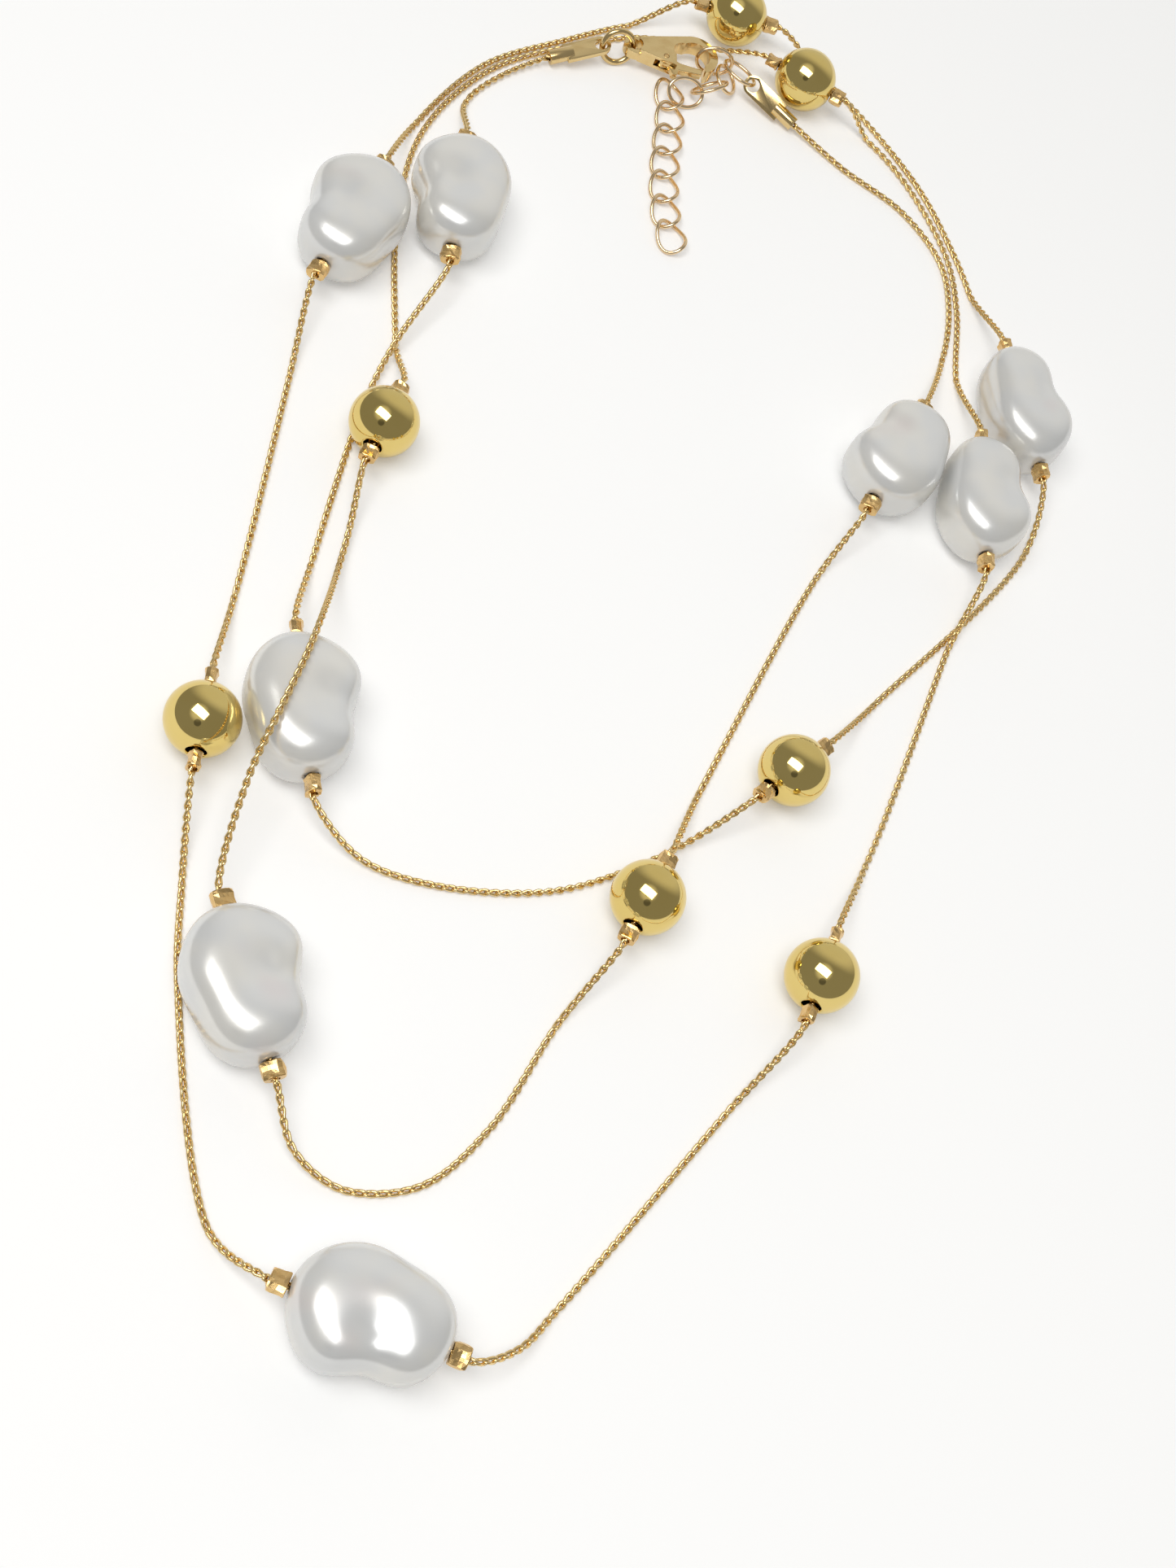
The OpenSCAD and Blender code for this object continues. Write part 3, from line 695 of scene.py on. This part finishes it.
def grain(start, size, detail=2.0):
    """Soft noise whose patches are about size millimetres across."""
    place = start.node("ShaderNodeTexCoord", output="Object")
    return start.node("ShaderNodeTexNoise", None, {"Vector": place, "Scale": 1 / (size * MM),
                                                   "Detail": detail})


def band(value, low, high):
    """0 below low, 1 above high, smooth between."""
    return value.node("ShaderNodeMapRange", {"interpolation_type": "SMOOTHSTEP"},
                      {"Value": value, "From Min": low, "From Max": high})


def blend_colours(factor, a, b):
    return factor.node("ShaderNodeMix", {"data_type": "RGBA"}, {0: factor, 6: a, 7: b}, output=2)


def surface(start, inputs):
    shader = start.node("ShaderNodeBsdfPrincipled", None, inputs)
    start.node("ShaderNodeOutputMaterial", None, {"Surface": shader})


# %% [markdown]
# ### Pearl
#
# A moulded pearl is plastic under a lustre coat: it is white, but its flat face mirrors the dim
# room softly, so it looks grey there, and its shoulders carry bright bands. A plain glossy white
# can't do both, so a part of the surface is treated as metal, which gives the soft mirror, under
# a clear coat. Faint warm, cool and rosy clouds and a very fine skin keep it from looking flat.

# %% Pearl finish
COOL_WHITE, WARM_WHITE = (0.84, 0.845, 0.84, 1), (0.9, 0.885, 0.84, 1)
ROSY_WHITE, ROSY_SHARE = (0.86, 0.74, 0.73, 1), 0.35
CLOUD_SIZE, ROSY_SIZE, SKIN_SIZE = 6, 8, 0.25
BUMP_DEPTH = 0.02 * MM
pearl_lustre, start = start_finish("pearl_lustre")
clouds = blend_colours(band(grain(start, CLOUD_SIZE), 0.35, 0.65), COOL_WHITE, WARM_WHITE)
rosy = band(grain(start, ROSY_SIZE, 1.0), 0.58, 0.75) * ROSY_SHARE
skin = grain(start, SKIN_SIZE, 3.0)
surface(start, {
    "Base Color": blend_colours(rosy, clouds, ROSY_WHITE),
    "Metallic": 0.35,
    "Roughness": 0.22 + skin * 0.05,
    "Coat Weight": 0.3,
    "Coat Roughness": 0.15,
    "Normal": start.node("ShaderNodeBump", None, {"Height": skin, "Strength": 0.03,
                                                  "Distance": BUMP_DEPTH}),
})
print("finish: pearl_lustre")

# %% [markdown]
# ### Golds
#
# Every metal piece is gold plated brass, and the golds differ in tone and polish: pale mirror
# balls, a warm fine chain, dull crushed crimps, a polished clasp and rosy extender wire. One
# function makes them all from a bright and a worn colour, a polish and a size of smudge.

# %% Gold finishes
WORN_SHARE, FINE_PER_SMUDGE = 0.6, 12


def gold_finish(name, bright, worn, polish, spread, smudge, dents):
    material, start = start_finish(name)
    smudges = grain(start, smudge, 3.0)
    fine = grain(start, smudge / FINE_PER_SMUDGE)
    surface(start, {
        "Base Color": blend_colours(band(smudges, 0.4, 0.7) * WORN_SHARE, bright, worn),
        "Metallic": 1.0,
        "Roughness": polish + smudges * spread,
        "Normal": start.node("ShaderNodeBump", None, {"Height": fine, "Strength": dents,
                                                      "Distance": BUMP_DEPTH}),
    })
    print("finish:", name)
    return material


FINISHES = {
    "pearl": pearl_lustre,
    "polished_gold": gold_finish("mirror_gold", (0.85, 0.66, 0.24, 1), (0.81, 0.61, 0.2, 1),
                                 polish=0.03, spread=0.05, smudge=5, dents=0.02),
    "chain_gold": gold_finish("chain_gold", (0.94, 0.7, 0.33, 1), (0.84, 0.57, 0.22, 1),
                              polish=0.13, spread=0.12, smudge=1.2, dents=0.1),
    "dull_gold": gold_finish("crimp_gold", (0.86, 0.59, 0.26, 1), (0.7, 0.44, 0.16, 1),
                             polish=0.16, spread=0.14, smudge=0.8, dents=0.5),
    "clasp_gold": gold_finish("clasp_gold", (0.85, 0.64, 0.31, 1), (0.74, 0.52, 0.22, 1),
                              polish=0.1, spread=0.1, smudge=1.5, dents=0.1),
    "rose_gold": gold_finish("rosy_wire", (0.93, 0.72, 0.45, 1), (0.86, 0.6, 0.34, 1),
                             polish=0.12, spread=0.1, smudge=1.5, dents=0.1),
}
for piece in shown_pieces():
    slot = piece.get("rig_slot")
    if slot is None:
        slot = next(part["material_slot"] for part in frame["record"]["subparts"]
                    if part["node"] == piece["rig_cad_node"])
    piece.data.materials.clear()
    piece.data.materials.append(FINISHES[slot])

# %% [markdown]
# ## Light and table
#
# The necklace lies on a white table in a dim room. One broad lamp hangs nearly overhead: it draws
# the bright bands on the pearls' shoulders and the spark on the balls, and its shadows are soft.
# The room is a grey world, lighter on the far side, which the flat faces of the pearls mirror,
# lighter round the lamp, and darker in one corner behind the camera, which the balls mirror. The
# table is nearly white by itself, and where the camera sees it a little plain white is added, more
# of it far out, where the lamp no longer reaches, and less in what the beads mirror of it. The
# camera sees the room itself as plain white.

# %% Table
FLOOR_SIZE = 3
TABLE_COLOUR, PLAIN_WHITE = (0.95, 0.95, 0.945, 1), (1, 1, 1, 1)
FAR_FROM, FAR_TO = 0.15, 0.8
TABLE_WHITE, TABLE_FAR_WHITE, TABLE_MIRRORED = 0.2, 0.42, 0.1
floor_bm = bmesh.new()
bmesh.ops.create_grid(floor_bm, x_segments=1, y_segments=1, size=FLOOR_SIZE)
floor_mesh = bpy.data.meshes.new("table_top")
floor_bm.to_mesh(floor_mesh)
floor_bm.free()
floor = bpy.data.objects.new("table_top", floor_mesh)
bpy.context.scene.collection.objects.link(floor)
table_white, start = start_finish("table_white")
plain = start.node("ShaderNodeBsdfDiffuse", None, {"Color": TABLE_COLOUR})
seen = start.node("ShaderNodeLightPath", output="Is Camera Ray")
mirrored = start.node("ShaderNodeLightPath", output="Is Glossy Ray")
place = start.node("ShaderNodeTexCoord", output="Object")
from_middle = start.node("ShaderNodeVectorMath", {"operation": "LENGTH"}, {0: place},
                         output="Value")
far = band(from_middle, FAR_FROM, FAR_TO)
glow = start.node("ShaderNodeEmission", None, {
    "Color": PLAIN_WHITE,
    "Strength": seen * (TABLE_WHITE + far * TABLE_FAR_WHITE) + mirrored * TABLE_MIRRORED})
start.node("ShaderNodeOutputMaterial", None, {"Surface": start.node(
    "ShaderNodeAddShader", None, {0: plain, 1: glow})})
floor.data.materials.append(table_white)
print("table:", 2 * FLOOR_SIZE, "m across")

# %% Lamp
LAMP_FROM, LAMP_DISTANCE = (-0.284, -0.145, 0.947), 0.6
LAMP_WIDTH, LAMP_HEIGHT, LAMP_SPIN = 0.5, 0.26, math.radians(20)
LAMP_LEVEL = 4.4
lamp_data = bpy.data.lights.new("lamp", "AREA")
lamp_data.shape = "RECTANGLE"
lamp_data.size, lamp_data.size_y = LAMP_WIDTH, LAMP_HEIGHT
lamp_data.energy = LAMP_LEVEL * math.pi * LAMP_WIDTH * LAMP_HEIGHT
lamp = bpy.data.objects.new("lamp", lamp_data)
bpy.context.scene.collection.objects.link(lamp)
lamp.location = Vector(LAMP_FROM).normalized() * LAMP_DISTANCE
lamp_aim = (-lamp.location).to_track_quat("-Z", "Y").to_matrix()
lamp.rotation_euler = (lamp_aim @ Matrix.Rotation(LAMP_SPIN, 3, "Z")).to_euler()
print("lamp:", LAMP_WIDTH, "by", LAMP_HEIGHT, "m,", LAMP_DISTANCE, "m away")

# %% Room
FAR_SIDE, BEHIND_CAMERA = (0.5, 0.8, 0.35), (-0.33, -0.6, 0.72)
ROOM_LEVEL, FAR_LEVEL, LAMP_GLOW_LEVEL, CORNER_DARK = 0.26, 0.36, 0.4, 0.6
ROOM_COLOUR = (1, 0.99, 0.96, 1)
BACKGROUND_WHITE = 0.92
world = bpy.data.worlds.new("dim_room")
bpy.context.scene.world = world
world.use_nodes = True
world.node_tree.nodes.clear()
start = Shade(world.node_tree)
direction = start.node("ShaderNodeTexCoord", output="Generated")


def towards(aim):
    """How closely the direction of a ray of the room agrees with this one, -1 to 1."""
    return start.node("ShaderNodeVectorMath", {"operation": "DOT_PRODUCT"},
                      {0: direction, 1: Vector(aim).normalized()}, output="Value")


lamp_glow = band(towards(LAMP_FROM), 0.86, 0.98)
far_side = band(towards(FAR_SIDE), 0.5, 0.9)
near_corner = band(towards(BEHIND_CAMERA), 0.978, 0.988)
level = (ROOM_LEVEL + far_side * FAR_LEVEL + lamp_glow * LAMP_GLOW_LEVEL) * (
    1 - near_corner * CORNER_DARK)
seen = start.node("ShaderNodeLightPath", output="Is Camera Ray")
room = start.node("ShaderNodeBackground", None, {
    "Color": ROOM_COLOUR, "Strength": level * (1 - seen) + seen * BACKGROUND_WHITE})
start.node("ShaderNodeOutputWorld", None, {"Surface": room})
bpy.context.scene.view_settings.view_transform = "Standard"
print("light: one lamp and a dim room")
